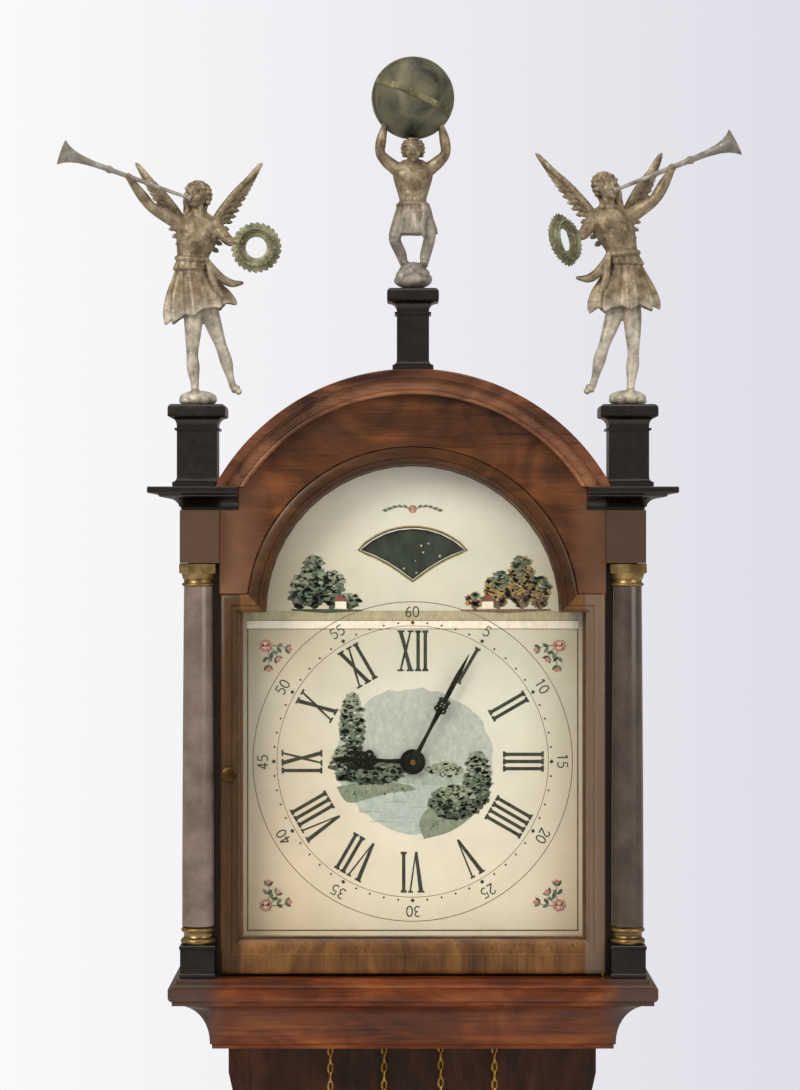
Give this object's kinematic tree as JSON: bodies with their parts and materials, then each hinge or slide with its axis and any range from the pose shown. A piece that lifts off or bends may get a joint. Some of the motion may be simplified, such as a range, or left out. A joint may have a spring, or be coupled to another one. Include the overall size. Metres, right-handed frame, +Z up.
{
  "type": "frisian tail clock",
  "caption": "Wall clock with an arched glazed hood on columns, carved figures on top, a painted moon dial, a long tail case for the pendulum, and chain-hung weights.",
  "frame": {"origin": "on the wall plane, the backboard's back face, on the centre line and level with the hood's lower edge", "axes": "+Z up along the case, +Y into the wall, so the dial faces -Y, and +X to the viewer's right"},
  "size_m": [0.4733, 0.2149, 1.3658],
  "materials": {
    "mahogany": "polished mahogany veneer",
    "oak": "plain stained oak",
    "ebonised": "polished black stain",
    "gilt_wood": "worn gilding on carved wood",
    "globe_paint": "dark green paint with gilt bands",
    "brass": "polished",
    "steel": "satin",
    "dark_bronze": "dark patina",
    "lead": "dull grey",
    "painted_dial": "aged oil paint on sheet iron",
    "night_sky": "painted night sky",
    "glass": "clear window glass"
  },
  "bodies": {
    "case": {"backboard": "oak", "tail_front_board": "mahogany", "tail_side_left": "mahogany", "tail_side_right": "mahogany", "bob_window_bezel": "brass", "bob_window_glass": "glass", "seat_board": "oak", "seat_brackets": "oak", "front_plate": "brass", "back_plate": "brass", "bell_standard": "steel", "bell": "brass", "dial_plate": "painted_dial", "going_chain": "brass", "striking_chain": "brass"},
    "hood": {"hood_base": "mahogany", "hood_side_left": "mahogany", "hood_side_right": "mahogany", "side_glass_left": "glass", "side_glass_right": "glass", "hood_front": "mahogany", "hood_roof": "mahogany", "arch_moulding": "mahogany", "cornice_left": "ebonised", "cornice_right": "ebonised", "column_left": "ebonised", "column_right": "ebonised", "pedestal_left": "ebonised", "pedestal_right": "ebonised", "pedestal_centre": "ebonised", "angel_left": "gilt_wood", "angel_right": "gilt_wood", "atlas": "gilt_wood", "globe": "globe_paint"},
    "door": {"door_frame": "mahogany", "door_glass": "glass", "door_knob": "brass"},
    "centre_arbor": {"centre_wheel": "brass", "minute_hand": "dark_bronze"},
    "going_great_arbor": {"going_great_wheel": "brass"},
    "third_arbor": {"third_wheel": "brass"},
    "escape_arbor": {"escape_wheel": "brass"},
    "minute_wheel_body": {"minute_wheel": "brass"},
    "hour_pipe": {"hour_wheel": "brass", "hour_hand": "dark_bronze"},
    "moon": {"moon_disc": "night_sky"},
    "hammer_wheel_arbor": {"hammer_wheel": "brass"},
    "striking_great_arbor": {"striking_great_wheel": "brass"},
    "warning_arbor": {"warning_wheel": "brass"},
    "fly_arbor": {"fly": "brass"},
    "hammer_arbor": {"hammer": "steel"},
    "pendulum": {"pendulum_rod": "steel", "pendulum_bob": "brass"},
    "anchor_arbor": {"anchor": "steel"},
    "going_weight_body": {"going_weight": "brass"},
    "going_ring_body": {"going_ring": "lead"},
    "going_sprocket_body": {"going_sprocket": "steel"},
    "striking_weight_body": {"striking_weight": "brass"},
    "striking_ring_body": {"striking_ring": "lead"},
    "striking_sprocket_body": {"striking_sprocket": "steel"}
  },
  "joints": [
    {"name": "hood_lift", "type": "slide", "parent": "case", "child": "hood", "axis": [0, 0, 1], "range_m": [0, 0.4]},
    {"name": "door_swing", "type": "hinge", "parent": "hood", "child": "door", "pos_m": [0.1329, -0.184, 0.2], "axis": [0, 0, 1], "range_deg": [0, 100]},
    {"name": "minute_turn", "type": "hinge", "parent": "case", "child": "centre_arbor", "pos_m": [0, -0.1, 0.2], "axis": [0, 1, 0], "continuous": true},
    {"name": "going_great_turn", "type": "hinge", "parent": "case", "child": "going_great_arbor", "pos_m": [-0.04, -0.1, 0.19366], "axis": [0, 1, 0], "continuous": true},
    {"name": "third_turn", "type": "hinge", "parent": "case", "child": "third_arbor", "pos_m": [-0.014, -0.1, 0.23071], "axis": [0, 1, 0], "continuous": true},
    {"name": "escape_turn", "type": "hinge", "parent": "case", "child": "escape_arbor", "pos_m": [0, -0.1, 0.25502], "axis": [0, 1, 0], "continuous": true},
    {"name": "minute_wheel_turn", "type": "hinge", "parent": "case", "child": "minute_wheel_body", "pos_m": [-0.0198, -0.13, 0.1802], "axis": [0, 1, 0], "continuous": true},
    {"name": "hour_turn", "type": "hinge", "parent": "case", "child": "hour_pipe", "pos_m": [0, -0.14, 0.2], "axis": [0, 1, 0], "continuous": true},
    {"name": "moon_turn", "type": "hinge", "parent": "case", "child": "moon", "pos_m": [0, -0.148, 0.306], "axis": [0, 1, 0], "continuous": true},
    {"name": "striking_turn", "type": "hinge", "parent": "case", "child": "hammer_wheel_arbor", "pos_m": [0.05193, -0.1, 0.23393], "axis": [0, 1, 0], "continuous": true},
    {"name": "striking_great_turn", "type": "hinge", "parent": "case", "child": "striking_great_arbor", "pos_m": [0.04, -0.1, 0.19366], "axis": [0, 1, 0], "continuous": true},
    {"name": "warning_turn", "type": "hinge", "parent": "case", "child": "warning_arbor", "pos_m": [0.03783, -0.1, 0.2616], "axis": [0, 1, 0], "continuous": true},
    {"name": "fly_turn", "type": "hinge", "parent": "case", "child": "fly_arbor", "pos_m": [0.0548, -0.1, 0.27857], "axis": [0, 1, 0], "continuous": true},
    {"name": "hammer_lift", "type": "hinge", "parent": "case", "child": "hammer_arbor", "pos_m": [0.078, -0.1, 0.27], "axis": [0, 1, 0], "range_deg": [-2, 12], "stiffness_Nm_per_rad": 0.2, "springref_deg": 1.72},
    {"name": "pendulum_swing", "type": "hinge", "parent": "case", "child": "pendulum", "pos_m": [0, -0.038, 0.28502], "axis": [0, 1, 0], "range_deg": [-2.5, 2.5]},
    {"name": "anchor_rock", "type": "hinge", "parent": "case", "child": "anchor_arbor", "pos_m": [0, -0.1, 0.28502], "axis": [0, 1, 0], "range_deg": [-2.5, 2.5]},
    {"name": "going_weight_travel", "type": "slide", "parent": "case", "child": "going_weight_body", "axis": [0, 0, 1], "range_m": [-0.2, 0.2], "deforming": ["going_chain"]},
    {"name": "going_ring_travel", "type": "slide", "parent": "case", "child": "going_ring_body", "axis": [0, 0, 1], "range_m": [-0.2, 0.2]},
    {"name": "going_sprocket_turn", "type": "hinge", "parent": "case", "child": "going_sprocket_body", "pos_m": [-0.04, -0.1, 0.19366], "axis": [0, 1, 0], "continuous": true},
    {"name": "striking_weight_travel", "type": "slide", "parent": "case", "child": "striking_weight_body", "axis": [0, 0, 1], "range_m": [-0.2, 0.2], "deforming": ["striking_chain"]},
    {"name": "striking_ring_travel", "type": "slide", "parent": "case", "child": "striking_ring_body", "axis": [0, 0, 1], "range_m": [-0.2, 0.2]},
    {"name": "striking_sprocket_turn", "type": "hinge", "parent": "case", "child": "striking_sprocket_body", "pos_m": [0.04, -0.1, 0.19366], "axis": [0, 1, 0], "continuous": true}
  ],
  "couplings": [
    {"joint": "going_great_turn", "follows": "minute_turn", "ratio": -0.125},
    {"joint": "third_turn", "follows": "minute_turn", "ratio": -8},
    {"joint": "escape_turn", "follows": "minute_turn", "ratio": 60},
    {"joint": "minute_wheel_turn", "follows": "minute_turn", "ratio": -0.33333},
    {"joint": "hour_turn", "follows": "minute_turn", "ratio": 0.083333},
    {"joint": "moon_turn", "follows": "minute_turn", "ratio": 0.00070621},
    {"joint": "striking_great_turn", "follows": "striking_turn", "ratio": -0.16667},
    {"joint": "warning_turn", "follows": "striking_turn", "ratio": -8},
    {"joint": "fly_turn", "follows": "striking_turn", "ratio": 56},
    {"joint": "anchor_rock", "follows": "pendulum_swing", "ratio": 1},
    {"joint": "going_ring_travel", "follows": "going_weight_travel", "ratio": -1},
    {"joint": "going_sprocket_turn", "follows": "going_weight_travel", "rad_per_m": 51.282},
    {"joint": "striking_ring_travel", "follows": "striking_weight_travel", "ratio": -1},
    {"joint": "striking_sprocket_turn", "follows": "striking_weight_travel", "rad_per_m": -51.282}
  ]
}
